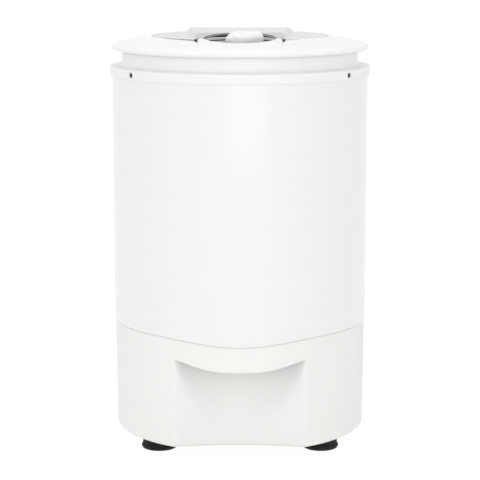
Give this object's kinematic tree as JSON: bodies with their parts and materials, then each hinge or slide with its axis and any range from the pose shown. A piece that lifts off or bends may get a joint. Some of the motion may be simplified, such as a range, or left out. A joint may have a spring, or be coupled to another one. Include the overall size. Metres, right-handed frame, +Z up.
{
  "type": "laundry spin dryer",
  "caption": "Round free-standing laundry spin dryer with a hinged lid, a quarter-turn latch knob, a smoked window and a spinning perforated drum.",
  "frame": {"origin": "on the floor, under the drum's axis", "axes": "+Z up along the drum's axis; the front with the scoop and the knob faces -Y; +X is the machine's left as it faces the viewer's right"},
  "size_m": [0.37, 0.37, 0.5977],
  "materials": {
    "base_plastic": "warm white moulded polypropylene, satin gloss",
    "ring_plastic": "warm white moulded plastic, gloss",
    "lid_plastic": "warm white moulded plastic, gloss",
    "liner_plastic": "white moulded plastic, satin",
    "floor_plastic": "off-white moulded polypropylene, matt inner side",
    "knob_plastic": "white moulded plastic, gloss",
    "smoked_plastic": "smoked translucent plastic, polished",
    "well_plastic": "black moulded plastic, gloss",
    "cabinet_paint": "white enamelled sheet steel",
    "foot_rubber": "black moulded rubber, matt",
    "mount_rubber": "black moulded rubber, matt",
    "seal_rubber": "dark grey rubber, matt",
    "gasket_rubber": "grey foam rubber",
    "dark_screw": "blackened steel screws",
    "zinc_steel": "zinc-plated steel",
    "strike_steel": "pressed stainless steel",
    "shaft_steel": "ground steel",
    "bearing_steel": "polished bearing steel",
    "drum_steel": "perforated stainless sheet, brushed",
    "hub_alloy": "die-cast aluminium",
    "plate_steel": "zinc-coated pressed steel",
    "motor_paint": "dark painted die-cast aluminium",
    "core_steel": "laminated electrical steel",
    "copper_winding": "varnished copper winding",
    "tub_plastic": "light grey moulded polypropylene",
    "cone_plastic": "white moulded plastic",
    "black_plastic": "black moulded plastic, fine texture",
    "box_plastic": "dark grey moulded plastic",
    "capacitor_can": "drawn aluminium can",
    "magnet_grey": "sintered magnet, matt grey"
  },
  "bodies": {
    "base": {"base_moulding": "base_plastic", "scoop_panel": "base_plastic", "scoop_pocket": "base_plastic", "scoop_roof": "base_plastic", "base_floor": "floor_plastic", "tub_deck": "floor_plastic", "foot_right": "foot_rubber", "foot_rear": "foot_rubber", "foot_left": "foot_rubber", "foot_screws": "zinc_steel", "cabinet": "cabinet_paint", "top_ring": "ring_plastic", "band_screws": "dark_screw", "strike_plate": "strike_steel", "reed_switch": "black_plastic", "hinge_pins": "strike_steel", "outer_tub": "tub_plastic", "tub_bellows": "seal_rubber", "drain_spout": "tub_plastic", "motor_plate": "plate_steel", "mount_right": "mount_rubber", "mount_rear": "mount_rubber", "mount_left": "mount_rubber", "mount_studs": "zinc_steel", "motor_housing": "motor_paint", "stator_core": "core_steel", "winding_upper": "copper_winding", "winding_lower": "copper_winding", "bearing_housing": "hub_alloy", "bearing_upper": "bearing_steel", "bearing_lower": "bearing_steel", "capacitor": "capacitor_can", "capacitor_cup": "box_plastic", "control_box": "box_plastic", "cord_inlet": "black_plastic"},
    "rotor": {"drive_shaft": "shaft_steel", "rotor_core": "core_steel", "cooling_fan": "black_plastic", "drum_hub": "hub_alloy", "drum": "drum_steel", "drum_floor": "drum_steel", "drum_cone": "cone_plastic", "hub_nut": "zinc_steel", "balance_ring": "cone_plastic"},
    "lid": {"lid_frame": "lid_plastic", "lid_window": "smoked_plastic", "lid_liner": "liner_plastic", "lid_gasket": "gasket_rubber", "lid_screws": "zinc_steel", "lid_magnet": "magnet_grey", "knob_well": "well_plastic"},
    "latch": {"knob": "knob_plastic", "latch_spindle": "shaft_steel", "latch_arm": "shaft_steel", "arm_screw": "zinc_steel"}
  },
  "joints": [
    {"name": "lid_hinge", "type": "hinge", "parent": "base", "child": "lid", "pos_m": [0, 0.174, 0.557], "axis": [-1, 0, 0], "range_deg": [0, 85]},
    {"name": "knob_turn", "type": "hinge", "parent": "lid", "child": "latch", "pos_m": [0, -0.092, 0.56], "axis": [0, 0, -1], "range_deg": [0, 90]},
    {"name": "drum_spin", "type": "hinge", "parent": "base", "child": "rotor", "pos_m": [0, 0, 0.2], "axis": [0, 0, 1], "continuous": true}
  ]
}
